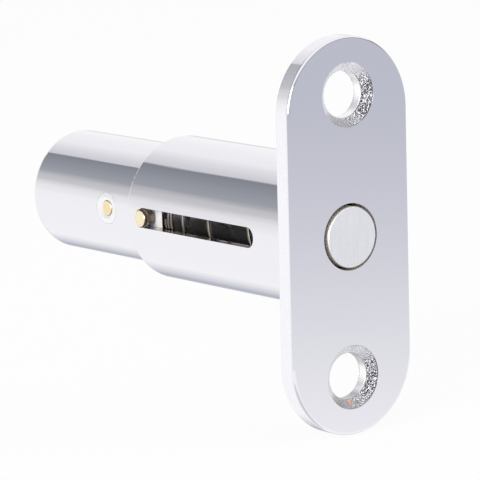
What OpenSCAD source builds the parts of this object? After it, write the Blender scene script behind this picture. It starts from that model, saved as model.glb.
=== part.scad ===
// Press plunger lock for a sliding door.
// A flanged housing is screwed behind the door. Pressing the plunger throws the bolt out through
// the flange, and the key then sets a latch pin into the slot in the housing's side.
// The lock axis is Y, from the flange at y = 0 to the key face. The flange stands along Z.
// Each piece is drawn along +Z and laid on the axis by along_lock(), which turns +Y to -Z.

/* [Flange] */
// Length of the flange between its round ends
flange_l = 48; // [44:0.5:60]
// Thickness of the flange
flange_t = 2.3; // [1.8:0.1:4]
// Width of the flange that stands out on each side of the tube
flange_side = 0.1; // [0.1:0.1:3]
// Radius of the flange's front edge
flange_edge = 0.35; // [0.1:0.05:0.6]
// Distance between the two screw holes
screw_spacing = 34; // [32:0.5:36]
// Diameter of a screw hole
screw_hole_d = 5.6; // [3:0.1:5.8]
// Diameter of the countersink at the flange's face
screw_head_d = 7.8; // [6.4:0.1:9]

/* [Housing tube] */
// Length of the tube behind the flange
tube_l = 30.5; // [28:0.5:40]
// Wall of the tube
tube_wall = 1.3; // [1:0.05:2.5]
// Chamfer inside the tube's mouth
mouth_chamfer = 0.3; // [0.1:0.05:0.4]
// Radius of the mouth's outer edge
mouth_edge = 0.3; // [0.1:0.05:0.5]
// Width of the slot in the tube's side
slot_w = 2.5; // [2.2:0.1:3]
// Distance from the flange's back to the slot
slot_start = 5; // [3:0.5:8]
// Wall left between the slot and the tube's mouth
slot_end_wall = 2.2; // [1:0.1:3]

/* [Plunger] */
// Diameter of the plunger
plunger_d = 15.2; // [15:0.1:18]
// How far the plunger stands out of the tube
plunger_out = 22.4; // [21:0.2:30]
// Radius of the plunger's front edge
plunger_edge = 0.8; // [0.2:0.1:1]
// Distance from the plunger's rear end to the guide pin
guide_setback = 2; // [1.4:0.1:2.5]

/* [Lock bolt] */
// Diameter of the bolt
bolt_d = 7.4; // [6:0.1:7.6]
// Clearance round the bolt in the flange
bolt_gap = 0.35; // [0.1:0.05:0.6]
// Diameter of the bolt's head, held in the plunger
bolt_head_d = 8.3; // [8:0.1:9]
// Length of the bolt's head
bolt_head_l = 4.2; // [3.5:0.1:4.6]
// How far the bolt's end stands out of the flange at rest
bolt_proud = 0.3; // [0.1:0.05:1]
// Chamfer at the bolt's end
bolt_chamfer = 0.15; // [0.1:0.05:0.8]

/* [Guide pin] */
// Length of the guide pin's head
guide_head_l = 0.75; // [0.6:0.05:1.4]
// How far the head stands out of the tube
guide_proud = 0.55; // [0.1:0.05:0.8]
// Diameter of the guide pin's neck
guide_neck_d = 1.5; // [1.2:0.1:1.8]

/* [Return spring] */
// Wire of the return spring
return_wire = 0.5; // [0.4:0.05:0.6]
// Clearance round the return spring in the tube, on the radius
return_clear = 0.2; // [0.15:0.05:1]
// Turns of the return spring
return_turns = 6.5; // [6:0.1:8]
// Turns of it that lie close at the flange
return_dead_rear = 0.8; // [0.5:0.05:1.2]
// Turns of it that lie close at the plunger
return_dead_front = 1.85; // [0.8:0.05:2.5]
// How far the pitch of its open turns falls towards the plunger, as a share of the mean pitch
return_lean = 0.9; // [0:0.05:0.9]

/* [Latch] */
// Distance from the guide pin to the latch pin
latch_ahead = 9.7; // [9.4:0.1:10.5]
// Diameter of the latch pin
latch_d = 1.9; // [1.6:0.1:2.2]
// How far the key drives the latch pin out
latch_throw = 1.5; // [1:0.05:1.6]
// Diameter of the bush round the latch pin
bush_d = 3.96; // [3.8:0.02:4.1]
// Length of the bush
bush_l = 1.3; // [1:0.05:1.35]
// Depth of the dish in the bush
bush_dish = 0.2; // [0.1:0.05:0.8]
// Wire of the latch spring
latch_wire = 0.28; // [0.2:0.02:0.3]
// Turns of the latch spring
latch_turns = 2.5; // [2:0.5:3]

/* [Key plug] */
// Diameter of the plug
plug_d = 9.8; // [9.6:0.1:10.2]
// Diameter of the plug's head
plug_head_d = 11.8; // [11:0.1:12.6]
// Thickness of the plug's head
plug_head_l = 1.5; // [1.2:0.1:1.8]
// Diameter of the plug's tail
tail_d = 5; // [4.4:0.1:5.6]
// Length of the plug's tail behind the web that carries it
tail_l = 1.6; // [1.3:0.1:1.8]
// Thickness of the web
web_t = 1.4; // [1:0.1:1.6]
// Width of the cam groove
cam_groove_w = 4.2; // [3.8:0.1:4.4]
// Width of the keyway
keyway_w = 2.2; // [1.8:0.1:2.4]
// Height of the keyway
keyway_h = 7.4; // [6:0.1:7.8]

/* [Wafers] */
// Number of wafers
wafer_count = 6; // [4:1:6]
// Thickness of a wafer
wafer_t = 0.9; // [0.7:0.05:0.95]
// How far a wafer springs out of the plug
wafer_lift = 0.8; // [0.4:0.1:1]
// Wire of a wafer spring
wafer_wire = 0.2; // [0.14:0.02:0.24]
// Turns of a wafer spring
wafer_turns = 4; // [3:1:5]

/* [Clearances] */
// Running clearance between turned pieces, on the radius
run_gap = 0.1; // [0.05:0.01:0.12]
// Running clearance of the latch pin in its bush, on the radius
latch_gap = 0.05; // [0.04:0.01:0.1]
// Clearance of a pressed pin, on the radius
press_gap = 0.02; // [0.01:0.01:0.04]
// End clearance between a stop and what it stops
end_gap = 0.15; // [0.1:0.05:0.2]

/* [Hidden] */
$fn = 64;
cut = 1;             // how far a cutter runs past the face that it opens
join = 0.3;          // how far a piece of one casting runs into the next

// Tube and flange
bore_d = plunger_d + 2 * run_gap;
tube_d = bore_d + 2 * tube_wall;
flange_w = tube_d + 2 * flange_side;
flange_end = (flange_l - flange_w) / 2;
screw_head_depth = (screw_head_d - screw_hole_d) / 2;
bolt_hole_d = bolt_d + 2 * bolt_gap;
slot_end = tube_l - slot_end_wall;

// Plunger, along the lock axis
guide_head_d = slot_w - 2 * run_gap;
guide_z = slot_end - guide_head_d / 2 - end_gap;
plunger_rear = guide_z - guide_setback;
plunger_front = tube_l + plunger_out;
rear_bore_d = bolt_head_d + 2 * press_gap;
latch_z = guide_z + latch_ahead;
guide_top = tube_d / 2 + guide_proud;
guide_sink = 1.6;    // how far the guide pin goes into the bolt's head
guide_end = bolt_head_d / 2 - guide_sink;
guide_chamfer = 0.18; // edge of the guide pin's face

// Key plug, along the lock axis
rear_land = 0.8;     // plug left behind the cam groove
front_land = 0.7;    // plug left between the cam groove and the keyway
plug_chamfer = 0.3;  // edge of the plug's face
cam_rear = latch_z - cam_groove_w / 2;
cam_front = latch_z + cam_groove_w / 2;
plug_rear = cam_rear - rear_land;
head_rear = plunger_front - plug_head_l;
web_front = plug_rear - end_gap;
web_rear = web_front - web_t;
tail_end = web_rear - tail_l;
keyway_end = cam_front + front_land;

// Clip on the plug's tail
clip_t = 0.6;
clip_rim = 1;        // how far the clip stands out round the tail
clip_bite = 0.55;    // depth of the clip's groove in the tail
clip_opening = 2.2;
clip_d = tail_d + 2 * clip_rim;
groove_d = tail_d - 2 * clip_bite;
groove_front = web_rear;
clip_front = groove_front - run_gap;
groove_rear = clip_front - clip_t - run_gap;

// Cam: an eccentric disc that lies 45 degrees off the latch pin's line at rest,
// so a quarter turn drives the pin out by the whole throw.
cam_side = latch_throw / 2;
cam_inset = 0.04;    // how far the cam's highest point stays inside the plug's surface
cam_r = plug_d / 2 - norm([cam_side, cam_side]) - cam_inset;
cam_low = sqrt(cam_r * cam_r - cam_side * cam_side) - cam_side;

// Latch pin, along its own radius
latch_tip = cam_low + run_gap;
latch_top = plunger_d / 2 - run_gap;
latch_chamfer = 0.06; // edge of the latch pin's face
collar_t = 0.5;
collar_start = cam_r - cam_side + 4 * run_gap;
collar_end = collar_start + collar_t;
latch_bore_d = bush_d + 2 * press_gap;
bush_start = plunger_d / 2 - bush_l;
bush_hole_d = latch_d + 2 * latch_gap;
collar_d = latch_bore_d - 6 * run_gap;

// Wafers, spread evenly along the plug
wafer_gap = 0.05;    // clearance of a wafer in its slot
wafer_slot_t = wafer_t + 2 * wafer_gap;
wafer_land = 0.25;   // plug left between the head and the first wafer's share
wafer_pitch = (head_rear - keyway_end - wafer_land) / wafer_count;
wafer_half = 2.3;    // half the width of a wafer
wafer_shift = -0.3;  // the wafer's middle, off the plug's middle to make room for the spring
window_w = keyway_w + 2 * run_gap;
window_h = 4.4;
window_steps = [3, -2, 5, 0, -4, 2]; // where the key's cuts put each window
window_step = 0.1;
ear_w = 1.2;
ear_h = 2.3;
ear_top = 0.3;       // the ear's seat for its spring
spring_room = 2.7;   // length of a wafer spring at rest
wafer_right = wafer_shift + wafer_half;
ear_middle = wafer_right + ear_w / 2;
wafer_spring_od = ear_w - run_gap;

// Springs: close turns at each end of the small ones, and the pitch of close turns as a share of the wire
return_od = bore_d - 2 * return_clear;
latch_dead = 0.3;
wafer_dead = 0.4;
close_pitch = 1.1;

function wafer_z(i) = head_rear - wafer_land - (i - 1 / 2) * wafer_pitch;

// Lays what is drawn along +Z on the lock axis
module along_lock() {
    rotate([-90, 0, 0]) children();
}

// Turns what is drawn along +Z to point out of the side, at the given place along the lock
module out_of_side(z) {
    translate([0, 0, z]) rotate([0, -90, 0]) children();
}

// Turned piece from half its outline, as [radius, height] points
module turned(outline) {
    rotate_extrude() polygon(outline);
}

// Half section of a turned or cast edge: half width r, height h, with the bottom edge rounded
module rounded_section(r, h, edge) {
    square([r - edge, h]);
    translate([0, edge]) square([r, h - edge]);
    translate([r - edge, edge]) circle(r = edge);
}

// Round-ended slot from x = a to x = b
module slot_outline(a, b, w) {
    translate([a + w / 2, -w / 2]) square([b - a - w, w]);
    translate([a + w / 2, 0]) circle(d = w);
    translate([b - w / 2, 0]) circle(d = w);
}

// Rise of a coil after t turns: dead[0] turns lie close at its start and dead[1] at its end.
// The pitch of the open turns between them falls by lean on each side of its mean, or is even.
function coil_rise(t, turns, wire, height, dead, lean) =
    let (
        close = wire * close_pitch,
        open = turns - dead[0] - dead[1],
        pitch = (height - wire - (turns - open) * close) / open,
        s = max(0, min(open, t - dead[0]))
    )
    (t - s) * close + pitch * s * (1 + lean * (1 - s / open));

// Wire coil that stands on z = 0 and fills the given height
module coil(od, wire, turns, height, dead, steps, sides, lean = 0) {
    mean_r = (od - wire) / 2;
    rings = round(turns * steps);
    points = [
        for (i = [0 : rings], j = [0 : sides - 1])
            let (
                t = turns * i / rings,
                r = mean_r + wire / 2 * cos(360 * j / sides),
                rise = coil_rise(t, turns, wire, height, dead, lean),
                z = wire / 2 + rise + wire / 2 * sin(360 * j / sides)
            )
            [r * cos(360 * t), r * sin(360 * t), z]
    ];
    walls = [
        for (i = [0 : rings - 1], j = [0 : sides - 1])
            let (a = i * sides + j, b = i * sides + (j + 1) % sides)
            each [[a, b, b + sides], [a, b + sides, a + sides]]
    ];
    start = [for (j = [sides - 1 : -1 : 0]) j];
    finish = [for (j = [0 : sides - 1]) rings * sides + j];
    polyhedron(points, concat(walls, [start, finish]));
}

module flange() {
    half = flange_w / 2;
    translate([0, 0, -flange_t]) {
        for (turn = [0, 180]) rotate([0, 0, turn]) translate([0, flange_end, 0])
            rotate_extrude(angle = 180) rounded_section(half, flange_t, flange_edge);
        translate([0, flange_end, 0]) rotate([90, 0, 0]) linear_extrude(2 * flange_end) {
            rounded_section(half, flange_t, flange_edge);
            mirror([1, 0]) rounded_section(half, flange_t, flange_edge);
        }
    }
}

module screw_hole() {
    hole = screw_hole_d / 2;
    head = screw_head_d / 2;
    face = -flange_t;
    turned([
        [0, face - cut], [head + cut, face - cut], [hole, face + screw_head_depth], [hole, cut], [0, cut]
    ]);
}

module housing() {
    outer = tube_d / 2;
    inner = bore_d / 2;
    color("gainsboro") along_lock() difference() {
        union() {
            flange();
            translate([0, 0, tube_l]) mirror([0, 0, 1]) rotate_extrude()
                rounded_section(outer, tube_l + join, mouth_edge);
        }
        turned([
            [0, 0], [inner, 0], [inner, tube_l - mouth_chamfer],
            [inner + mouth_chamfer + cut, tube_l + cut], [0, tube_l + cut]
        ]);
        translate([0, 0, -flange_t - cut]) cylinder(d = bolt_hole_d, h = flange_t + 2 * cut);
        for (side = [-1, 1]) translate([0, side * screw_spacing / 2, 0]) screw_hole();
        out_of_side(0) linear_extrude(outer + cut) slot_outline(slot_start, slot_end, slot_w);
    }
}

// Room that a row of wafers springs into when no key holds them in
module wafer_groove() {
    depth = plug_d / 2 + wafer_lift + run_gap;
    translate([wafer_shift - wafer_half - 2 * run_gap, 0, keyway_end])
        cube([2 * wafer_half + 4 * run_gap, depth, head_rear - keyway_end]);
}

module plunger_barrel() {
    length = plunger_front - plunger_rear;
    rear_r = rear_bore_d / 2;
    tail_r = tail_d / 2 + run_gap;
    plug_r = plug_d / 2 + run_gap;
    head_r = plug_head_d / 2 + run_gap;
    seat = head_rear - end_gap;
    color("gainsboro") along_lock() difference() {
        translate([0, 0, plunger_front]) mirror([0, 0, 1]) rotate_extrude()
            rounded_section(plunger_d / 2, length, plunger_edge);
        turned([
            [0, plunger_rear - cut], [rear_r, plunger_rear - cut], [rear_r, web_rear], [tail_r, web_rear],
            [tail_r, web_front], [plug_r, web_front], [plug_r, seat], [head_r, seat],
            [head_r, plunger_front + cut], [0, plunger_front + cut]
        ]);
        out_of_side(guide_z) cylinder(d = guide_neck_d + 2 * press_gap, h = plunger_d);
        out_of_side(latch_z) cylinder(d = latch_bore_d, h = plunger_d);
        // The key comes out in both positions of the plug
        wafer_groove();
        rotate([0, 0, 90]) wafer_groove();
    }
}

module lock_bolt() {
    r = bolt_d / 2;
    head_r = bolt_head_d / 2;
    bolt_end = -flange_t - bolt_proud;
    head_end = plunger_rear + bolt_head_l;
    color("lightgray") along_lock() difference() {
        turned([
            [0, bolt_end], [r - bolt_chamfer, bolt_end], [r, bolt_end + bolt_chamfer], [r, plunger_rear],
            [head_r, plunger_rear], [head_r, head_end], [0, head_end]
        ]);
        out_of_side(guide_z) translate([0, 0, guide_end - end_gap])
            cylinder(d = guide_neck_d + 2 * press_gap, h = bolt_head_d);
    }
}

module guide_pin() {
    neck_r = guide_neck_d / 2;
    head_r = guide_head_d / 2;
    head_start = guide_top - guide_head_l;
    color("goldenrod") along_lock() out_of_side(guide_z) turned([
        [0, guide_end], [neck_r, guide_end], [neck_r, head_start], [head_r, head_start],
        [head_r, guide_top - guide_chamfer], [head_r - guide_chamfer, guide_top], [0, guide_top]
    ]);
}

module return_spring() {
    color("rosybrown") along_lock() translate([0, 0, end_gap])
        coil(
            return_od, return_wire, return_turns, plunger_rear - 2 * end_gap,
            [return_dead_rear, return_dead_front], steps = 28, sides = 8, lean = return_lean
        );
}

module latch_pin() {
    r = latch_d / 2;
    tip_middle = latch_tip + r;
    color("goldenrod") along_lock() out_of_side(latch_z) {
        rotate_extrude() intersection() {
            translate([0, tip_middle]) circle(r = r);
            translate([0, latch_tip]) square([r, latch_d]);
        }
        turned([
            [0, tip_middle], [r, tip_middle], [r, latch_top - latch_chamfer], [r - latch_chamfer, latch_top],
            [0, latch_top]
        ]);
        translate([0, 0, collar_start]) cylinder(d = collar_d, h = collar_t);
    }
}

module latch_spring() {
    gap = run_gap / 2;
    color("lightgray") along_lock() out_of_side(latch_z) translate([0, 0, collar_end + gap])
        coil(
            collar_d - run_gap, latch_wire, latch_turns, bush_start - collar_end - 2 * gap,
            [latch_dead, latch_dead], steps = 14, sides = 6
        );
}

module latch_bush() {
    color("gainsboro") along_lock() difference() {
        intersection() {
            out_of_side(latch_z) translate([0, 0, bush_start]) cylinder(d = bush_d, h = bush_l + cut);
            translate([0, 0, latch_z - bush_d]) cylinder(d = plunger_d, h = 2 * bush_d);
        }
        out_of_side(latch_z) cylinder(d = bush_hole_d, h = plunger_d);
        out_of_side(latch_z) translate([0, 0, plunger_d / 2 - bush_dish])
            cylinder(d1 = bush_hole_d, d2 = bush_d - 2 * run_gap, h = bush_dish);
    }
}

// Slot of one wafer in the plug, with the room for its ear and its spring
module wafer_slot(z) {
    room = ear_w + 2 * run_gap;
    translate([wafer_shift - wafer_half - run_gap, -plug_d, z - wafer_slot_t / 2])
        cube([2 * wafer_half + 2 * run_gap, 2 * plug_d, wafer_slot_t]);
    translate([ear_middle - room / 2, -ear_top - run_gap, z - wafer_slot_t / 2])
        cube([room, plug_d, wafer_slot_t]);
    translate([ear_middle, -ear_top, z]) rotate([90, 0, 0]) cylinder(d = room, h = spring_room + run_gap);
}

module key_plug() {
    plug_r = plug_d / 2;
    head_r = plug_head_d / 2;
    tail_r = tail_d / 2;
    groove_r = groove_d / 2;
    color("silver") along_lock() difference() {
        union() {
            turned([
                [0, cam_front], [plug_r, cam_front], [plug_r, head_rear], [head_r, head_rear],
                [head_r, plunger_front - plug_chamfer], [head_r - plug_chamfer, plunger_front],
                [0, plunger_front]
            ]);
            translate([cam_side, cam_side, cam_rear - join]) cylinder(r = cam_r, h = cam_groove_w + 2 * join);
            turned([
                [0, tail_end], [tail_r, tail_end], [tail_r, groove_rear], [groove_r, groove_rear],
                [groove_r, groove_front], [tail_r, groove_front], [tail_r, plug_rear], [plug_r, plug_rear],
                [plug_r, cam_rear], [0, cam_rear]
            ]);
        }
        translate([-keyway_w / 2, -keyway_h / 2, keyway_end])
            cube([keyway_w, keyway_h, plunger_front - keyway_end + cut]);
        for (i = [1 : wafer_count]) wafer_slot(wafer_z(i));
    }
}

module plug_clip() {
    color("dimgray") along_lock() translate([0, 0, clip_front - clip_t]) difference() {
        cylinder(d = clip_d, h = clip_t);
        translate([0, 0, -cut]) cylinder(d = groove_d + 2 * run_gap, h = clip_t + 2 * cut);
        translate([-clip_opening / 2, 0, -cut]) cube([clip_opening, clip_d, clip_t + 2 * cut]);
    }
}

module wafer(i) {
    window_low = window_steps[i - 1] * window_step - window_h / 2;
    color("goldenrod") along_lock() translate([0, 0, wafer_z(i) - wafer_t / 2]) linear_extrude(wafer_t)
        difference() {
            union() {
                intersection() {
                    translate([wafer_shift - wafer_half, -plug_d / 2]) square([2 * wafer_half, plug_d]);
                    circle(r = plug_d / 2 - run_gap);
                }
                translate([wafer_right - run_gap, -ear_top]) square([ear_w + run_gap, ear_h]);
            }
            translate([-window_w / 2, window_low]) square([window_w, window_h]);
        }
}

module wafer_spring(i) {
    gap = run_gap / 2;
    color("lightgray") along_lock() translate([ear_middle, -ear_top - gap, wafer_z(i)]) rotate([90, 0, 0])
        coil(
            wafer_spring_od, wafer_wire, wafer_turns, spring_room - gap,
            [wafer_dead, wafer_dead], steps = 10, sides = 6
        );
}

housing();
plunger_barrel();
lock_bolt();
return_spring();
guide_pin();
latch_pin();
latch_spring();
latch_bush();
key_plug();
plug_clip();
for (i = [1 : wafer_count]) {
    wafer(i);
    wafer_spring(i);
}
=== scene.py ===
# Press plunger lock for a sliding door, finished for the camera.
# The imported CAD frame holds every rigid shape. This script gives each piece its metal and its
# marks of making, winds the springs as smooth wire, and sets the studio and the camera.
import math

import bpy
from mathutils import Matrix, Vector


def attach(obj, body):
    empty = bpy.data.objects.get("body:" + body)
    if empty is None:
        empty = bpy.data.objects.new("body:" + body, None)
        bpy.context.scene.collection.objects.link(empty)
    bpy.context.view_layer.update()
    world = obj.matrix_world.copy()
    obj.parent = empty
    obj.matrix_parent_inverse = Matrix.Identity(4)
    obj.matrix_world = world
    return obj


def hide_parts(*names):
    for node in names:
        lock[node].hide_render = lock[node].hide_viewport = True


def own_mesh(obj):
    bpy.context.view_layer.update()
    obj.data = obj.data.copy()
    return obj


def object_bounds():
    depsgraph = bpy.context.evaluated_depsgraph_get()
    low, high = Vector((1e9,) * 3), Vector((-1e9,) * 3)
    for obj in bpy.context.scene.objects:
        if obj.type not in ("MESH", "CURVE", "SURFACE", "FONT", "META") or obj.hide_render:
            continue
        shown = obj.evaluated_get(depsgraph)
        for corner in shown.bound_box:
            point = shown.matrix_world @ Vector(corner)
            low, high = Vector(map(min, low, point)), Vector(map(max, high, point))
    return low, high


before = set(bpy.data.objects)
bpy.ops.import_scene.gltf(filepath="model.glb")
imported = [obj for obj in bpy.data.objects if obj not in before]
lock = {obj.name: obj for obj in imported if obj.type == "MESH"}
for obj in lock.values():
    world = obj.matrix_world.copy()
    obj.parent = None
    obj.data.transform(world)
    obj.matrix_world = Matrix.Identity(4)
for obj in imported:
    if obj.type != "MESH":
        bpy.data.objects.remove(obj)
cad_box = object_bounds()


# Housing
# The flange and the tube are one zinc casting, polished and chrome plated where it shows. The
# plating is thin and pebbled on one side of the countersinks, and the bore is raw and greased, its
# near-black colour painted shade inside the tube.
def add(tree, kind, inputs=None, **settings):
    """Adds a node, with its settings, and gives its inputs a value or a link."""
    made = tree.nodes.new(kind)
    for name, value in settings.items():
        setattr(made, name, value)
    for name, value in (inputs or {}).items():
        if isinstance(value, bpy.types.NodeSocket):
            tree.links.new(value, made.inputs[name])
        else:
            made.inputs[name].default_value = value
    return made


def calc(tree, operation, *values):
    """A Math node's result."""
    return add(tree, "ShaderNodeMath", dict(enumerate(values)), operation=operation).outputs[0]


def fade(tree, value, low, high):
    """0 at low and 1 at high, smooth between them."""
    made = add(
        tree,
        "ShaderNodeMapRange",
        {"Value": value, "From Min": low, "From Max": high},
        interpolation_type="SMOOTHSTEP",
    )
    return made.outputs["Result"]


def overlap(tree, first, *others):
    """The share where all of the masks hold."""
    for other in others:
        first = calc(tree, "MULTIPLY", first, other)
    return first


def reach(tree, one_way, other_way):
    """The distance from an axis, by the two steps across it."""
    other_square = calc(tree, "MULTIPLY", other_way, other_way)
    return calc(tree, "SQRT", calc(tree, "MULTIPLY_ADD", one_way, one_way, other_square))


def noise(tree, where, scale, detail, roughness=0.5, **settings):
    """A Noise Texture's value."""
    inputs = {"Vector": where, "Scale": scale, "Detail": detail, "Roughness": roughness}
    return add(tree, "ShaderNodeTexNoise", inputs, **settings).outputs[0]


def stretch(tree, place, per_metre):
    """Coordinates scaled along each axis, for marks that run one way."""
    return add(tree, "ShaderNodeMapping", {"Vector": place, "Scale": per_metre}).outputs[0]


def bump(tree, height, strength, depth, over=None):
    """A bumped normal, laid over another one if there is one."""
    inputs = {"Height": height, "Strength": strength, "Distance": depth}
    if over is not None:
        inputs["Normal"] = over
    return add(tree, "ShaderNodeBump", inputs).outputs[0]


def blend_colour(tree, share, first, second):
    """Mixes two colours."""
    made = add(tree, "ShaderNodeMix", data_type="RGBA")
    for socket, value in ((made.inputs[0], share), (made.inputs[6], first), (made.inputs[7], second)):
        if isinstance(value, bpy.types.NodeSocket):
            tree.links.new(value, socket)
        else:
            socket.default_value = value
    return made.outputs[2]


def effect(name, inputs, outputs):
    """An empty shader node group with named sockets, and those sockets inside it."""
    tree = bpy.data.node_groups.new(name, "ShaderNodeTree")
    for label, kind in inputs.items():
        tree.interface.new_socket(label, in_out="INPUT", socket_type=kind)
    for label, kind in outputs.items():
        tree.interface.new_socket(label, in_out="OUTPUT", socket_type=kind)
    return tree, tree.nodes.new("NodeGroupInput").outputs, tree.nodes.new("NodeGroupOutput").inputs


def fill(tree, group, inputs):
    """Places an effect, sets its inputs and gives its outputs."""
    return add(tree, "ShaderNodeGroup", inputs, node_tree=group).outputs


def metal(name, **constants):
    """A metal with its constants on its shader, and its tree, its shader and the place on a piece."""
    finish = bpy.data.materials.new(name)
    finish.use_nodes = True
    tree = finish.node_tree
    shader = tree.nodes["Principled BSDF"]
    shader.inputs["Metallic"].default_value = 1.0
    for label, value in constants.items():
        shader.inputs[label.replace("_", " ")].default_value = value
    place = tree.nodes.new("ShaderNodeTexCoord").outputs["Object"]
    return finish, tree, shader, place


def vary(tree, shader, **values):
    """Links what changes over the surface to the shader's sockets."""
    for label, value in values.items():
        tree.links.new(value, shader.inputs[label.replace("_", " ")])


def wear_metal(node, finish):
    """Gives a CAD node its finish."""
    lock[node].material_slots[0].material = finish


# Buffing leaves faint hairlines and long shallow waves, and handling leaves broad smudges
SMUDGES_PER_METRE = 130.0
HAIRLINES_PER_METRE = (9000.0, 260.0, 9000.0)
WAVES_PER_METRE = (1000.0, 30.0, 1000.0)
polish_marks, marks_in, marks_out = effect(
    "polish_marks",
    {"Vector": "NodeSocketVector", "Clean": "NodeSocketFloat", "Smudged": "NodeSocketFloat"},
    {"Roughness": "NodeSocketFloat", "Height": "NodeSocketFloat", "Wave": "NodeSocketFloat"},
)
smudge = noise(polish_marks, marks_in["Vector"], SMUDGES_PER_METRE, 3.0)
smudge_share = fade(polish_marks, smudge, 0.46, 0.72)
smudge_step = calc(polish_marks, "SUBTRACT", marks_in["Smudged"], marks_in["Clean"])
handled = calc(polish_marks, "MULTIPLY_ADD", smudge_share, smudge_step, marks_in["Clean"])
hairline = noise(polish_marks, stretch(polish_marks, marks_in["Vector"], HAIRLINES_PER_METRE), 1.0, 2.0)
wave = noise(polish_marks, stretch(polish_marks, marks_in["Vector"], WAVES_PER_METRE), 1.0, 1.0)
polish_marks.links.new(handled, marks_out["Roughness"])
polish_marks.links.new(fade(polish_marks, hairline, 0.55, 0.8), marks_out["Height"])
polish_marks.links.new(calc(polish_marks, "SUBTRACT", wave, 0.5), marks_out["Wave"])


def buffed(tree, marks, wavy):
    """The normal of polished chrome: hairlines all over, and waves where the mask holds."""
    waves = bump(tree, overlap(tree, marks["Wave"], wavy), 0.15, 0.0001)
    return bump(tree, marks["Height"], 0.012, 0.00002, waves)


# A die-cast skin is pebbled, with dark pits where plating doesn't reach
cast_pebble, pebble_in, pebble_out = effect(
    "cast_pebble",
    {"Vector": "NodeSocketVector", "Grains per Metre": "NodeSocketFloat"},
    {"Height": "NodeSocketFloat", "Pit": "NodeSocketFloat"},
)
grain = noise(cast_pebble, pebble_in["Vector"], pebble_in["Grains per Metre"], 2.0, 0.6)
cast_pebble.links.new(grain, pebble_out["Height"])
cast_pebble.links.new(fade(cast_pebble, grain, 0.545, 0.475), pebble_out["Pit"])

CHROME = (0.87, 0.862, 0.90, 1.0)
# Raw greased bore, painted near black as the shade inside the tube
BORE_GREASE_AND_SHADE = (0.03, 0.028, 0.028, 1.0)
PLATING_PIT = (0.075, 0.075, 0.08, 1.0)
DULL_PLATING = (0.52, 0.51, 0.515, 1.0)
COPPER_STRIKE = (0.92, 0.52, 0.40, 1.0)
# The slot's walls are painted a dark warm brown, as shade within the slot
SLOT_WALL_SHADE = (0.36, 0.26, 0.20, 1.0)
OILED_HOLE = (0.62, 0.56, 0.51, 1.0)
SCREW_WALL = (0.97, 0.965, 0.98, 1.0)
DULL_WALL = (0.58, 0.56, 0.555, 1.0)
BORE_R = 0.0077
TUBE_R = 0.009
BOLT_HOLE_R = 0.00405
SCREW_Z = 0.017
SCREW_R = 0.0028
SCREW_HEAD_R = 0.0039
FLANGE_FACE = -0.0023
COUNTERSINK_END = -0.0012
SLOT_HALF_WIDTH = 0.00125
SLOT_START = 0.005
PLUNGER_REAR = 0.025
COPPER_SPECK = (0.0001, -0.00155, -0.02015)

housing_chrome, tree, shader, place = metal("housing_chrome")
x, y, z = add(tree, "ShaderNodeSeparateXYZ", {0: place}).outputs
off_axis = reach(tree, x, z)
in_bore = overlap(
    tree,
    fade(tree, off_axis, BORE_R + 0.00012, BORE_R + 0.00004),
    fade(tree, y, -0.00009, -0.00003),
)
in_bolt_hole = overlap(
    tree,
    fade(tree, off_axis, BOLT_HOLE_R + 0.00015, BOLT_HOLE_R + 0.0001),
    fade(tree, y, FLANGE_FACE + 0.00005, FLANGE_FACE + 0.0001),
)
on_slot_wall = overlap(
    tree,
    fade(tree, calc(tree, "ABSOLUTE", z), SLOT_HALF_WIDTH + 0.00003, SLOT_HALF_WIDTH + 0.000005),
    fade(tree, y, SLOT_START - 0.001, SLOT_START - 0.0002),
    fade(tree, y, PLUNGER_REAR + 0.0004, PLUNGER_REAR - 0.0004),
    calc(tree, "SUBTRACT", fade(tree, off_axis, TUBE_R, TUBE_R - 0.00012), in_bore),
)

# Both screw holes share one set of masks, measured from the nearer hole's axis
from_screw = calc(tree, "SUBTRACT", calc(tree, "ABSOLUTE", z), SCREW_Z)
up_from_screw = calc(tree, "MULTIPLY", from_screw, calc(tree, "SIGN", z))
off_screw = reach(tree, x, from_screw)
in_screw_hole = fade(tree, off_screw, SCREW_R + 0.00009, SCREW_R + 0.00003)
in_countersink = overlap(
    tree,
    fade(tree, off_screw, SCREW_R + 0.00002, SCREW_R + 0.0001),
    fade(tree, off_screw, SCREW_HEAD_R + 0.0001, SCREW_HEAD_R),
    fade(tree, y, FLANGE_FACE + 0.000005, FLANGE_FACE + 0.00002),
    fade(tree, y, COUNTERSINK_END + 0.0003, COUNTERSINK_END),
)
low_hole = fade(tree, z, -0.010, -0.012)
on_flange_side = overlap(
    tree,
    fade(tree, y, FLANGE_FACE + 0.00035, FLANGE_FACE + 0.00045),
    fade(tree, y, -0.00004, -0.0001),
    fade(tree, off_screw, SCREW_HEAD_R + 0.0002, SCREW_HEAD_R + 0.0006),
    fade(tree, off_axis, BOLT_HOLE_R + 0.00035, BOLT_HOLE_R + 0.00075),
)


def screw_side(degrees, low, high):
    """A mask for one side of the screw holes, so many degrees round from their right."""
    way = math.radians(degrees)
    across = calc(tree, "MULTIPLY", x, math.cos(way))
    toward = calc(tree, "MULTIPLY_ADD", up_from_screw, math.sin(way), across)
    return fade(tree, calc(tree, "DIVIDE", toward, off_screw), low, high)


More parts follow.
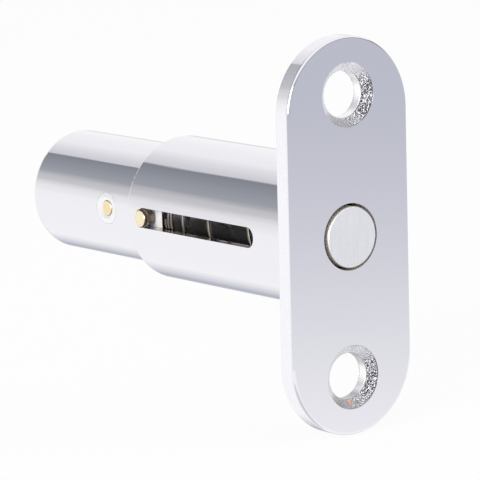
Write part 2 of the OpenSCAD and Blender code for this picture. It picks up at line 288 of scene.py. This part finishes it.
pebble = fill(tree, cast_pebble, {"Vector": place, "Grains per Metre": 6000.0})
poorly_plated = overlap(tree, in_countersink, screw_side(-20.0, -0.2, 0.6))
unplated = overlap(tree, in_countersink, screw_side(-12.0, 0.45, 0.88))
half_plated = overlap(tree, in_countersink, screw_side(-65.0, 0.8, 0.95))
dulled = overlap(tree, in_countersink, screw_side(-118.0, 0.82, 0.97))
# Darker pits along the outer rim of each countersink, more of them in the lower hole
rim_darkening = fade(tree, off_screw, SCREW_HEAD_R - 0.00016, SCREW_HEAD_R - 0.00006)
pitted = calc(
    tree,
    "MAXIMUM",
    calc(tree, "MULTIPLY_ADD", unplated, 0.75, calc(tree, "MULTIPLY", poorly_plated, 0.25)),
    calc(tree, "MULTIPLY", half_plated, 0.6),
)
pits = overlap(tree, calc(tree, "MAXIMUM", pebble["Pit"], calc(tree, "MULTIPLY", rim_darkening, 0.8)), pitted)
pits = calc(tree, "MAXIMUM", pits, overlap(tree, rim_darkening, low_hole, 0.3))
pits = overlap(tree, pits, in_countersink)
from_speck = add(tree, "ShaderNodeVectorMath", {0: place, 1: COPPER_SPECK}, operation="DISTANCE")
ragged = calc(tree, "MULTIPLY_ADD", pebble["Height"], 0.0007, from_speck.outputs["Value"])
speck = overlap(tree, fade(tree, ragged, 0.0008, 0.0006), in_countersink)
back_edge = overlap(tree, fade(tree, y, -0.0002, -0.0001), pebble["Pit"])
dull_wall = calc(tree, "MAXIMUM", overlap(tree, low_hole, screw_side(-15.0, 0.95, 0.7)), back_edge)

# Painted shade on the slot's walls
colour = blend_colour(tree, on_slot_wall, CHROME, SLOT_WALL_SHADE)
colour = blend_colour(tree, in_bolt_hole, colour, OILED_HOLE)
screw_wall = blend_colour(tree, dull_wall, SCREW_WALL, DULL_WALL)
colour = blend_colour(tree, in_screw_hole, colour, screw_wall)
colour = blend_colour(tree, dulled, colour, DULL_PLATING)
colour = blend_colour(tree, pits, colour, PLATING_PIT)
colour = blend_colour(tree, speck, colour, COPPER_STRIKE)
# The bore takes its painted near-black shade
colour = blend_colour(tree, in_bore, colour, BORE_GREASE_AND_SHADE)
marks = fill(tree, polish_marks, {"Vector": place, "Clean": 0.025, "Smudged": 0.055})
round_screw = calc(tree, "ADD", in_countersink, in_screw_hole)
bare = calc(tree, "MAXIMUM", in_bore, in_bolt_hole)
roughness = calc(tree, "MULTIPLY_ADD", round_screw, 0.3, marks["Roughness"])
roughness = calc(tree, "MULTIPLY_ADD", poorly_plated, -0.15, roughness)
roughness = calc(tree, "MULTIPLY_ADD", on_slot_wall, 0.15, roughness)
roughness = calc(tree, "MULTIPLY_ADD", on_flange_side, 0.05, roughness)
roughness = calc(tree, "MULTIPLY_ADD", bare, 0.4, roughness)
metal_share = calc(tree, "MULTIPLY_ADD", round_screw, -0.35, 1.0)
metal_share = calc(tree, "MULTIPLY_ADD", poorly_plated, 0.2, metal_share)
metal_share = calc(tree, "MULTIPLY_ADD", on_flange_side, -0.24, metal_share)
metal_share = calc(tree, "MULTIPLY_ADD", in_bolt_hole, -0.3, metal_share)
metal_share = calc(tree, "MULTIPLY_ADD", bare, -0.5, metal_share)
on_tube = fade(tree, y, 0.0001, 0.0006)
pebbled = bump(
    tree, overlap(tree, pebble["Height"], poorly_plated), 0.8, 0.00026, buffed(tree, marks, on_tube)
)
vary(tree, shader, Base_Color=colour, Roughness=roughness, Metallic=metal_share, Normal=pebbled)
wear_metal("housing", housing_chrome)


# Return spring
# Drawn steel wire, oiled to a dark brown, wound close at the plunger and ever wider towards the
# flange. It sits in the tube between the two, round the bolt.
coil_tree = bpy.data.node_groups.new("wound_wire", "GeometryNodeTree")
coil_tree.interface.new_socket("Geometry", in_out="OUTPUT", socket_type="NodeSocketGeometry")
for label, kind in {
    "Turns": "NodeSocketFloat",
    "Start Close Turns": "NodeSocketFloat",
    "End Close Turns": "NodeSocketFloat",
    "Close Pitch": "NodeSocketFloat",
    "Pitch Fall": "NodeSocketFloat",
    "Coil Radius": "NodeSocketFloat",
    "Wire Radius": "NodeSocketFloat",
    "Height": "NodeSocketFloat",
    "Points": "NodeSocketInt",
    "Sides": "NodeSocketInt",
    "Copies": "NodeSocketInt",
    "Copy Step": "NodeSocketFloat",
    "Wire": "NodeSocketMaterial",
}.items():
    coil_tree.interface.new_socket(label, in_out="INPUT", socket_type=kind)
size = coil_tree.nodes.new("NodeGroupInput").outputs
wire_line = add(coil_tree, "GeometryNodeCurvePrimitiveLine")
wire_points = add(
    coil_tree, "GeometryNodeResampleCurve", {"Curve": wire_line.outputs[0], "Count": size["Points"]}
)
run = add(coil_tree, "GeometryNodeSplineParameter").outputs["Factor"]
turn = calc(coil_tree, "MULTIPLY", run, size["Turns"])
close_turns = calc(coil_tree, "ADD", size["Start Close Turns"], size["End Close Turns"])
open_turns = calc(coil_tree, "SUBTRACT", size["Turns"], close_turns)
rise_room = calc(coil_tree, "MULTIPLY_ADD", size["Wire Radius"], -2.0, size["Height"])
open_rise = calc(
    coil_tree, "SUBTRACT", rise_room, calc(coil_tree, "MULTIPLY", close_turns, size["Close Pitch"])
)
open_pitch = calc(coil_tree, "DIVIDE", open_rise, open_turns)
past_start = calc(coil_tree, "SUBTRACT", turn, size["Start Close Turns"])
open_turn = calc(coil_tree, "MAXIMUM", calc(coil_tree, "MINIMUM", past_start, open_turns), 0.0)
to_go = calc(coil_tree, "SUBTRACT", 1.0, calc(coil_tree, "DIVIDE", open_turn, open_turns))
steeper = calc(coil_tree, "MULTIPLY_ADD", size["Pitch Fall"], to_go, 1.0)
rise = calc(
    coil_tree,
    "MULTIPLY_ADD",
    calc(coil_tree, "MULTIPLY", open_turn, open_pitch),
    steeper,
    calc(coil_tree, "MULTIPLY", calc(coil_tree, "SUBTRACT", turn, open_turn), size["Close Pitch"]),
)
angle = calc(coil_tree, "MULTIPLY", turn, math.tau)
wound_place = add(
    coil_tree,
    "ShaderNodeCombineXYZ",
    {
        "X": calc(coil_tree, "MULTIPLY", calc(coil_tree, "COSINE", angle), size["Coil Radius"]),
        "Y": calc(coil_tree, "MULTIPLY", calc(coil_tree, "SINE", angle), size["Coil Radius"]),
        "Z": calc(coil_tree, "ADD", rise, size["Wire Radius"]),
    },
)
wound = add(
    coil_tree,
    "GeometryNodeSetPosition",
    {"Geometry": wire_points.outputs[0], "Position": wound_place.outputs[0]},
)
wound = add(coil_tree, "GeometryNodeSetCurveNormal", {"Curve": wound.outputs[0]}, mode="Z_UP")
length_mark = add(
    coil_tree,
    "GeometryNodeStoreNamedAttribute",
    {
        "Geometry": wound.outputs[0],
        "Name": "wire_length",
        "Value": add(coil_tree, "GeometryNodeSplineParameter").outputs["Length"],
    },
    domain="POINT",
)
wire_section = add(
    coil_tree,
    "GeometryNodeCurvePrimitiveCircle",
    {"Resolution": size["Sides"], "Radius": size["Wire Radius"]},
)
round_mark = add(
    coil_tree,
    "GeometryNodeStoreNamedAttribute",
    {"Geometry": wire_section.outputs[0], "Name": "wire_round"},
    data_type="FLOAT_VECTOR",
    domain="POINT",
)
section_place = coil_tree.nodes.new("GeometryNodeInputPosition").outputs[0]
coil_tree.links.new(section_place, round_mark.inputs["Value"])
wire_mesh = add(
    coil_tree,
    "GeometryNodeCurveToMesh",
    {"Curve": length_mark.outputs[0], "Profile Curve": round_mark.outputs[0], "Fill Caps": True},
)
smooth_wire = add(coil_tree, "GeometryNodeSetShadeSmooth", {"Geometry": wire_mesh.outputs[0]})
row_step = add(coil_tree, "ShaderNodeCombineXYZ", {"Y": size["Copy Step"]})
row = add(
    coil_tree,
    "GeometryNodeMeshLine",
    {"Count": size["Copies"], "Offset": row_step.outputs[0]},
    mode="OFFSET",
)
copies = add(
    coil_tree,
    "GeometryNodeInstanceOnPoints",
    {"Points": row.outputs[0], "Instance": smooth_wire.outputs[0]},
)
solid = add(coil_tree, "GeometryNodeRealizeInstances", {"Geometry": copies.outputs[0]})
finished = add(
    coil_tree, "GeometryNodeSetMaterial", {"Geometry": solid.outputs[0], "Material": size["Wire"]}
)
coil_tree.links.new(finished.outputs[0], coil_tree.nodes.new("NodeGroupOutput").inputs[0])


def wind(name, stand, sizes):
    """Winds a spring, or a row of like springs, and stands it in its place as a plain mesh."""
    piece = bpy.data.objects.new(name, bpy.data.meshes.new(name))
    bpy.context.scene.collection.objects.link(piece)
    winding = piece.modifiers.new("winding", "NODES")
    winding.node_group = coil_tree
    for item in coil_tree.interface.items_tree:
        if item.in_out == "INPUT":
            winding[item.identifier] = sizes[item.name]
    ready = piece.evaluated_get(bpy.context.evaluated_depsgraph_get())
    piece.data = bpy.data.meshes.new_from_object(ready)
    piece.data.name = name
    piece.modifiers.remove(winding)
    piece.data.transform(stand)
    return piece


# Drawing through a die leaves lines along the wire, and the oil gathers in patches
THIN_OIL = (0.21, 0.19, 0.17, 1.0)
THICK_OIL = (0.13, 0.11, 0.095, 1.0)
spring_wire, tree, shader, place = metal("oiled_spring_wire")
wire_round = add(tree, "ShaderNodeAttribute", attribute_name="wire_round").outputs["Vector"]
wire_length = add(tree, "ShaderNodeAttribute", attribute_name="wire_length").outputs["Fac"]
across = add(tree, "ShaderNodeVectorMath", {0: wire_round, 1: (22000.0,) * 3}, operation="MULTIPLY")
along = add(tree, "ShaderNodeCombineXYZ", {"Z": calc(tree, "MULTIPLY", wire_length, 220.0)})
drawn_run = add(tree, "ShaderNodeVectorMath", {0: across.outputs[0], 1: along.outputs[0]}, operation="ADD")
drawn = noise(tree, drawn_run.outputs[0], 1.0, 3.0)
oil = noise(tree, place, 420.0, 2.0)
vary(
    tree,
    shader,
    Base_Color=blend_colour(tree, fade(tree, oil, 0.35, 0.65), THIN_OIL, THICK_OIL),
    Roughness=calc(tree, "MULTIPLY_ADD", drawn, 0.2, 0.2),
    Normal=bump(tree, drawn, 0.25, 0.00003),
)

ALONG_LOCK = Matrix.Rotation(-math.pi / 2, 4, "X")
return_spring = wind(
    "return_spring_wire",
    ALONG_LOCK @ Matrix.Translation((0, 0, 0.00015)),
    {
        "Turns": 6.5,
        "Start Close Turns": 0.8,
        "End Close Turns": 1.85,
        "Close Pitch": 0.00055,
        "Pitch Fall": 0.9,
        "Coil Radius": 0.00725,
        "Wire Radius": 0.00025,
        "Height": 0.0247,
        "Points": 420,
        "Sides": 16,
        "Copies": 1,
        "Copy Step": 0.0,
        "Wire": spring_wire,
    },
)
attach(return_spring, "housing")
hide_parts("return_spring")
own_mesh(return_spring)


# Lock bolt
# A turned steel bar with a chamfered end, held in the plunger by its head. Its end was ground on
# a belt along the flange, its side has lathe rings, and oil dulls it in the flange's hole.
lathe_rings, rings_in, rings_out = effect(
    "lathe_rings",
    {"Vector": "NodeSocketVector", "Rings per Metre": "NodeSocketFloat"},
    {"Ring": "NodeSocketFloat"},
)
ring_x, ring_y, ring_z = add(lathe_rings, "ShaderNodeSeparateXYZ", {0: rings_in["Vector"]}).outputs
ring_place = add(
    lathe_rings, "ShaderNodeCombineXYZ", {"X": reach(lathe_rings, ring_x, ring_y), "Y": ring_z}
).outputs[0]
ring = noise(lathe_rings, ring_place, rings_in["Rings per Metre"], 2.0, noise_dimensions="2D")
lathe_rings.links.new(ring, rings_out["Ring"])


def turned(tree, place, turn, rings_per_metre, shift=(0.0, 0.0, 0.0)):
    """Lathe rings about a piece's own axis, which the turn and the shift lay on Z."""
    spun = add(tree, "ShaderNodeMapping", {"Vector": place, "Rotation": turn, "Location": shift}).outputs[0]
    return fill(tree, lathe_rings, {"Vector": spun, "Rings per Metre": rings_per_metre})["Ring"]


BOLT_END = -0.0026
BOLT_CHAMFER = 0.00015
BOLT_STEEL = ((0.88, 0.88, 0.90, 1.0), (0.95, 0.95, 0.965, 1.0))
# Painted shade on the bolt's end chamfer, a darker brown-grey in place of its bright glint
CHAMFER_SHADE = (0.50, 0.44, 0.37, 1.0)
BELT_LINES_PER_METRE = (8000.0, 8000.0, 220.0)
LOCK_AXIS_TO_Z = (math.pi / 2, 0.0, 0.0)
bolt_steel, tree, shader, place = metal("ground_bolt_steel", Metallic=0.94)
y = add(tree, "ShaderNodeSeparateXYZ", {0: place}).outputs[1]
end_face = fade(tree, y, BOLT_END + 0.00008, BOLT_END + 0.00002)
in_flange = calc(tree, "SUBTRACT", fade(tree, y, 0.003, -0.001), end_face)
chamfer_end = BOLT_END + BOLT_CHAMFER
# The chamfer band that takes the painted shade
chamfer_shade = overlap(
    tree,
    fade(tree, y, BOLT_END + 0.00005, BOLT_END + 0.00009),
    fade(tree, y, chamfer_end + 0.0001, chamfer_end + 0.00003),
)
off_chamfer = calc(tree, "MAXIMUM", end_face, fade(tree, y, chamfer_end, chamfer_end + 0.00007))
belt = noise(tree, stretch(tree, place, BELT_LINES_PER_METRE), 1.0, 3.0, 0.6)
rings = turned(tree, place, LOCK_AXIS_TO_Z, 5200.0)
tool_mark = add(tree, "ShaderNodeMix", {0: end_face, 2: rings, 3: belt}).outputs[0]
steel = blend_colour(tree, fade(tree, tool_mark, 0.3, 0.7), *BOLT_STEEL)
dull = calc(tree, "MULTIPLY_ADD", end_face, 0.42, calc(tree, "MULTIPLY", in_flange, 0.3))
tool_height = overlap(tree, calc(tree, "SUBTRACT", tool_mark, 0.5), off_chamfer)
vary(
    tree,
    shader,
    Base_Color=blend_colour(tree, chamfer_shade, steel, CHAMFER_SHADE),
    Roughness=calc(tree, "ADD", dull, calc(tree, "MULTIPLY_ADD", tool_mark, 0.10, 0.05)),
    Normal=bump(tree, tool_height, 0.16, 0.00003),
)
wear_metal("lock_bolt", bolt_steel)


# Plunger
# A turned and chromed cylinder that slides in the tube. Its front face has fine lathe rings, its
# rear face and its bores are raw, and beside the guide pin a matt white is painted in place of the
# bright reflection there.
PLUNGER_FRONT = 0.0529
PLUNGER_R = 0.0076
PLUG_BORE_R = 0.006
GUIDE_Y = 0.027
RAW_STEEL = (0.30, 0.30, 0.31, 1.0)
# Matt white painted beside the guide pin, standing in for a bright reflection
BRIGHT_SEAT_PAINT = (0.97, 0.965, 0.975, 1.0)
REAR_FACE = (0.62, 0.58, 0.54, 1.0)
plunger_chrome, tree, shader, place = metal("plunger_chrome")
x, y, z = add(tree, "ShaderNodeSeparateXYZ", {0: place}).outputs
off_axis = reach(tree, x, z)
inside = overlap(
    tree,
    fade(tree, off_axis, PLUG_BORE_R + 0.0006, PLUG_BORE_R + 0.0004),
    fade(tree, y, PLUNGER_FRONT - 0.00005, PLUNGER_FRONT - 0.0002),
)
rear_face = fade(tree, y, PLUNGER_REAR + 0.00006, PLUNGER_REAR + 0.00002)
front_face = fade(tree, y, PLUNGER_FRONT - 0.0003, PLUNGER_FRONT - 0.00005)
from_pin = add(
    tree, "ShaderNodeVectorMath", {0: place, 1: (-PLUNGER_R, GUIDE_Y, 0.0)}, operation="DISTANCE"
).outputs["Value"]
pin_seat = overlap(
    tree,
    fade(tree, from_pin, 0.0024, 0.0021),
    fade(tree, off_axis, PLUNGER_R - 0.0001, PLUNGER_R - 0.00004),
)
# Where the painted reflection lies, beside the guide pin
bright_seat = overlap(tree, pin_seat, fade(tree, y, GUIDE_Y - 0.0005, GUIDE_Y - 0.0009))
colour = blend_colour(tree, inside, CHROME, RAW_STEEL)
colour = blend_colour(tree, bright_seat, colour, BRIGHT_SEAT_PAINT)
colour = blend_colour(tree, rear_face, colour, REAR_FACE)
marks = fill(tree, polish_marks, {"Vector": place, "Clean": 0.025, "Smudged": 0.055})
facing = overlap(tree, front_face, turned(tree, place, LOCK_AXIS_TO_Z, 6500.0))
roughness = calc(tree, "MULTIPLY_ADD", facing, 0.16, marks["Roughness"])
roughness = calc(tree, "MULTIPLY_ADD", pin_seat, 0.85, roughness)
roughness = calc(tree, "MULTIPLY_ADD", inside, 0.3, roughness)
chrome_normal = buffed(tree, marks, calc(tree, "SUBTRACT", 1.0, front_face))
vary(
    tree,
    shader,
    Base_Color=colour,
    Roughness=roughness,
    Metallic=calc(tree, "MULTIPLY_ADD", bright_seat, -0.85, 1.0),
    Normal=bump(tree, facing, 0.15, 0.00002, chrome_normal),
)
wear_metal("plunger_barrel", plunger_chrome)


# Guide pin
# A turned brass pin pressed into the plunger, whose head runs in the slot and stops the stroke.
# Its face is faced off bright, its side is brown and ringed, and its neck is a dull brown.
GUIDE_FACE = -0.00955
GUIDE_HEAD_END = -0.0088
RINGED_BROWN = ((0.04, 0.026, 0.015, 1.0), (0.55, 0.41, 0.27, 1.0))
EDGE_BROWN = (0.05, 0.032, 0.018, 1.0)
NECK_BROWN = (0.23, 0.19, 0.155, 1.0)
FACED_BRASS = ((0.92, 0.79, 0.54, 1.0), (0.97, 0.89, 0.67, 1.0))
SIDE_AXIS_TO_Z = (0.0, math.pi / 2, 0.0)
guide_brass, tree, shader, place = metal("guide_pin_brass")
x = add(tree, "ShaderNodeSeparateXYZ", {0: place}).outputs[0]
faced = fade(tree, x, GUIDE_FACE + 0.00006, GUIDE_FACE + 0.00002)
on_edge = fade(tree, x, GUIDE_FACE + 0.0004, GUIDE_FACE + 0.0002)
on_neck = fade(tree, x, GUIDE_HEAD_END - 0.00002, GUIDE_HEAD_END + 0.00002)
rings = turned(tree, place, SIDE_AXIS_TO_Z, 7000.0, (0.0, -GUIDE_Y, 0.0))
brown = blend_colour(tree, fade(tree, rings, 0.5, 0.56), *RINGED_BROWN)
brown = blend_colour(tree, on_edge, brown, EDGE_BROWN)
brown = blend_colour(tree, on_neck, brown, NECK_BROWN)
bright = blend_colour(tree, fade(tree, rings, 0.35, 0.65), *FACED_BRASS)
roughness = calc(tree, "MULTIPLY_ADD", rings, 0.12, calc(tree, "MULTIPLY_ADD", faced, -0.08, 0.26))
vary(
    tree,
    shader,
    Base_Color=blend_colour(tree, faced, brown, bright),
    Roughness=roughness,
    Metallic=calc(tree, "MULTIPLY_ADD", faced, 0.4, 0.6),
    Normal=bump(tree, rings, 0.2, 0.00002),
)
wear_metal("guide_pin", guide_brass)


# Latch pin, its spring and its bush
# The key drives this brass pin out of the plunger's side and into the slot. A small spring draws
# it back in, held by a dished and chromed bush pressed in flush with the plunger.
LATCH_Y = 0.0367
LATCH_BRASS = ((0.92, 0.72, 0.40, 1.0), (0.97, 0.84, 0.59, 1.0))
latch_brass, tree, shader, place = metal("latch_pin_brass")
rings = turned(tree, place, SIDE_AXIS_TO_Z, 6000.0, (0.0, -LATCH_Y, 0.0))
vary(
    tree,
    shader,
    Base_Color=blend_colour(tree, fade(tree, rings, 0.3, 0.7), *LATCH_BRASS),
    Roughness=calc(tree, "MULTIPLY_ADD", rings, 0.16, 0.2),
    Normal=bump(tree, rings, 0.2, 0.00002),
)
wear_metal("latch_pin", latch_brass)

bush_chrome, tree, shader, place = metal("bush_chrome", Base_Color=(0.96, 0.95, 0.965, 1.0))
marks = fill(tree, polish_marks, {"Vector": place, "Clean": 0.28, "Smudged": 0.34})
rings = turned(tree, place, SIDE_AXIS_TO_Z, 5000.0, (0.0, -LATCH_Y, 0.0))
vary(
    tree,
    shader,
    Roughness=calc(tree, "MULTIPLY_ADD", rings, 0.08, marks["Roughness"]),
    Normal=bump(tree, rings, 0.1, 0.00002),
)
wear_metal("latch_bush", bush_chrome)

latch_spring = wind(
    "latch_spring_wire",
    ALONG_LOCK
    @ Matrix.Translation((0, 0, LATCH_Y))
    @ Matrix.Rotation(-math.pi / 2, 4, "Y")
    @ Matrix.Translation((0, 0, 0.0039993)),
    {
        "Turns": 2.5,
        "Start Close Turns": 0.3,
        "End Close Turns": 0.3,
        "Close Pitch": 0.000308,
        "Pitch Fall": 0.0,
        "Coil Radius": 0.00151,
        "Wire Radius": 0.00014,
        "Height": 0.0022507,
        "Points": 100,
        "Sides": 12,
        "Copies": 1,
        "Copy Step": 0.0,
        "Wire": spring_wire,
    },
)
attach(latch_spring, "plunger")
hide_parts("latch_spring")
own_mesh(latch_spring)


# Key plug and its clip
# A zinc casting with a satin nickel face, turned by the key. Its slots hold the wafers, its cam
# moves the latch pin, and a sprung steel clip on its tail keeps it in the plunger.
CAST_ZINC = ((0.56, 0.57, 0.59, 1.0), (0.40, 0.41, 0.43, 1.0))
SATIN_NICKEL = ((0.70, 0.69, 0.67, 1.0), (0.80, 0.79, 0.77, 1.0))
plug_zinc, tree, shader, place = metal("plug_zinc")
y = add(tree, "ShaderNodeSeparateXYZ", {0: place}).outputs[1]
key_face = fade(tree, y, PLUNGER_FRONT - 0.00025, PLUNGER_FRONT - 0.00005)
pebble = fill(tree, cast_pebble, {"Vector": place, "Grains per Metre": 1900.0})
rings = turned(tree, place, LOCK_AXIS_TO_Z, 5200.0)
cast_tone = blend_colour(tree, pebble["Pit"], *CAST_ZINC)
nickel_tone = blend_colour(tree, fade(tree, rings, 0.3, 0.7), *SATIN_NICKEL)
plug_skin = add(tree, "ShaderNodeMix", {0: key_face, 2: pebble["Height"], 3: rings}).outputs[0]
roughness = calc(tree, "MULTIPLY_ADD", rings, 0.1, calc(tree, "MULTIPLY_ADD", key_face, -0.2, 0.42))
vary(
    tree,
    shader,
    Base_Color=blend_colour(tree, key_face, cast_tone, nickel_tone),
    Roughness=roughness,
    Normal=bump(tree, plug_skin, 0.25, 0.00003),
)
wear_metal("key_plug", plug_zinc)

BLUED_STEEL = ((0.12, 0.13, 0.16, 1.0), (0.22, 0.20, 0.19, 1.0))
clip_steel, tree, shader, place = metal("blued_clip_steel")
heat = noise(tree, place, 700.0, 2.0)
vary(
    tree,
    shader,
    Base_Color=blend_colour(tree, fade(tree, heat, 0.35, 0.65), *BLUED_STEEL),
    Roughness=calc(tree, "MULTIPLY_ADD", heat, 0.2, 0.22),
)
wear_metal("plug_clip", clip_steel)


# Wafers and their springs
# Six wafers stamped from brass strip, one in each slot of the plug, each with a window that the
# key passes through. A small spring under each wafer's ear pushes it out when no key holds it.
WAFERS = range(1, 7)
WAFER_PITCH = 0.0019417
LAST_WAFER_Y = 0.0404708
STRIP_BRASS = ((0.80, 0.60, 0.29, 1.0), (0.58, 0.40, 0.17, 1.0))
ROLLED_LINES_PER_METRE = (400.0, 6000.0, 6000.0)
wafer_brass, tree, shader, place = metal("stamped_wafer_brass")
rolled = noise(tree, stretch(tree, place, ROLLED_LINES_PER_METRE), 1.0, 3.0)
tarnish = noise(tree, place, 600.0, 3.0)
vary(
    tree,
    shader,
    Base_Color=blend_colour(tree, fade(tree, tarnish, 0.38, 0.66), *STRIP_BRASS),
    Roughness=calc(tree, "MULTIPLY_ADD", rolled, 0.2, 0.22),
    Normal=bump(tree, rolled, 0.2, 0.00002),
)
for number in WAFERS:
    wear_metal(f"wafer_{number}", wafer_brass)

wafer_springs = wind(
    "wafer_spring_wires",
    Matrix.Translation((0.0026, LAST_WAFER_Y, 0.00035)),
    {
        "Turns": 4.0,
        "Start Close Turns": 0.4,
        "End Close Turns": 0.4,
        "Close Pitch": 0.00022,
        "Pitch Fall": 0.0,
        "Coil Radius": 0.00045,
        "Wire Radius": 0.0001,
        "Height": 0.00265,
        "Points": 100,
        "Sides": 8,
        "Copies": len(WAFERS),
        "Copy Step": WAFER_PITCH,
        "Wire": spring_wire,
    },
)
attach(wafer_springs, "plug")
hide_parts(*(f"wafer_spring_{number}" for number in WAFERS))


# Floor
# A plain sweep of white paper under the lock. Most of its white is its own, so only a faint shadow
# is left on it, and the chrome doesn't mirror it.
FLOOR_Z = cad_box[0][2] - 0.0002
bpy.ops.mesh.primitive_plane_add(size=6.0, location=(0.0, 0.0, FLOOR_Z))
floor = bpy.context.object
floor.name = "paper_floor"
floor.visible_glossy = False
WHITE = (1.0, 1.0, 1.0, 1.0)
paper = bpy.data.materials.new("white_paper")
paper.use_nodes = True
tree = paper.node_tree
tree.nodes.clear()
matt = add(tree, "ShaderNodeBsdfDiffuse", {"Color": (0.97, 0.97, 0.97, 1.0)}).outputs[0]
white = add(tree, "ShaderNodeEmission", {"Color": WHITE, "Strength": 1.0}).outputs[0]
seen = add(tree, "ShaderNodeLightPath").outputs
in_metal = calc(tree, "MAXIMUM", seen["Is Glossy Ray"], seen["Is Transmission Ray"])
showing = calc(tree, "MAXIMUM", seen["Is Camera Ray"], in_metal)
sheet = add(tree, "ShaderNodeMixShader", {0: calc(tree, "MULTIPLY", showing, 0.9), 1: matt, 2: white})
tree.links.new(sheet.outputs[0], add(tree, "ShaderNodeOutputMaterial").inputs["Surface"])
floor.data.materials.append(paper)


# Studio
# White walls all round. A grey card behind the lock, high on the left, draws the dark band along
# the tube, the room in front greys the flange, and a pale bench low on the left draws its lower edge.
world = bpy.data.worlds.new("white_studio")
bpy.context.scene.world = world
world.use_nodes = True
tree = world.node_tree
tree.nodes.clear()
way = add(tree, "ShaderNodeTexCoord").outputs["Generated"]
x, y, z = add(tree, "ShaderNodeSeparateXYZ", {0: way}).outputs
round_lock = calc(tree, "FRACT", calc(tree, "DIVIDE", calc(tree, "ARCTAN2", z, x), math.tau))
card = add(tree, "ShaderNodeValToRGB", {0: round_lock})
CARD_STOPS = (
    (0.0, (0.74, 0.74, 0.76)),
    (14.0, (1.0, 1.0, 1.0)),
    (70.0, (0.95, 0.95, 0.96)),
    (103.2, (0.68, 0.68, 0.70)),
    (104.7, (0.25, 0.26, 0.29)),
    (143.0, (0.38, 0.395, 0.43)),
    (150.0, (0.57, 0.57, 0.58)),
    (160.0, (0.65, 0.65, 0.66)),
    (163.0, (0.75, 0.75, 0.76)),
    (170.0, (0.87, 0.87, 0.88)),
    (185.0, (0.985, 0.985, 0.985)),
    (200.0, (1.0, 1.0, 1.0)),
    (278.0, (1.0, 1.0, 1.0)),
    (318.0, (0.46, 0.48, 0.55)),
    (345.0, (0.70, 0.70, 0.72)),
    (359.0, (0.74, 0.74, 0.76)),
)
stops = card.color_ramp.elements
while len(stops) < len(CARD_STOPS):
    stops.new(0.5)
for stop, (degrees, tone) in zip(stops, CARD_STOPS):
    stop.position = degrees / 360.0
    stop.color = (*tone, 1.0)
ROOM = (0.565, 0.58, 0.645, 1.0)
DARK_ROOM = (0.28, 0.29, 0.32, 1.0)
BENCH = (0.70, 0.70, 0.73, 1.0)
room = blend_colour(tree, fade(tree, z, -0.25, -0.12), WHITE, ROOM)
room = blend_colour(tree, fade(tree, z, 0.18, 0.26), room, DARK_ROOM)
bench = overlap(tree, fade(tree, z, -0.4, -0.55), fade(tree, x, 0.25, 0.05))
room = blend_colour(tree, bench, room, BENCH)
overhead = blend_colour(tree, fade(tree, z, 0.42, 0.5), room, WHITE)
mirrored = blend_colour(tree, fade(tree, y, 0.1, 0.35), overhead, WHITE)
behind = overlap(tree, fade(tree, y, 0.3, 0.45), fade(tree, y, 0.97, 0.9))
mirrored = blend_colour(tree, behind, mirrored, card.outputs[0])
seen = add(tree, "ShaderNodeLightPath").outputs
in_metal = calc(tree, "MAXIMUM", seen["Is Glossy Ray"], seen["Is Transmission Ray"])
on_matt = blend_colour(tree, seen["Is Diffuse Ray"], WHITE, (0.7, 0.7, 0.7, 1.0))
shown = blend_colour(tree, in_metal, on_matt, mirrored)
sky = add(tree, "ShaderNodeBackground", {"Color": shown, "Strength": 1.0})
tree.links.new(sky.outputs[0], add(tree, "ShaderNodeOutputWorld").inputs["Surface"])

for name, spot, size_m, watts, in_chrome in (
    ("side_light", (-0.80, -0.42, 0.25), 0.5, 5.0, True),
    ("fill_light", (0.8, -0.7, 0.6), 0.8, 2.5, False),
):
    lamp = bpy.data.lights.new(name, "AREA")
    lamp.size = size_m
    lamp.energy = watts
    light = bpy.data.objects.new(name, lamp)
    light.location = spot
    light.rotation_euler = (-Vector(spot)).to_track_quat("-Z", "Y").to_euler()
    light.visible_glossy = in_chrome
    bpy.context.scene.collection.objects.link(light)


# Camera
# A long lens to the left of the flange and a little above it, at the photograph's angle. It is
# turned a little about its own axis, as the photograph is.
azimuth, height_angle, roll = (math.radians(v) for v in (-37.655, 9.562, -1.413))
aim = Vector((-0.007095, 0.010, -0.000954))
DISTANCE = 0.4577
back = Vector(
    (
        math.sin(azimuth) * math.cos(height_angle),
        -math.cos(azimuth) * math.cos(height_angle),
        math.sin(height_angle),
    )
)
right = Vector((math.cos(azimuth), math.sin(azimuth), 0.0))
up = back.cross(right)
right, up = (
    math.cos(roll) * right + math.sin(roll) * up,
    math.cos(roll) * up - math.sin(roll) * right,
)
lens = bpy.data.cameras.new("camera")
lens.lens = 285.657
lens.sensor_width = 36.0
lens.clip_start = 0.01
camera = bpy.data.objects.new("camera", lens)
bpy.context.scene.collection.objects.link(camera)
facing_lock = Matrix((right, up, back)).transposed().to_4x4()
camera.matrix_world = Matrix.Translation(aim + back * DISTANCE) @ facing_lock
bpy.context.scene.camera = camera
bpy.context.scene.view_settings.view_transform = "Standard"
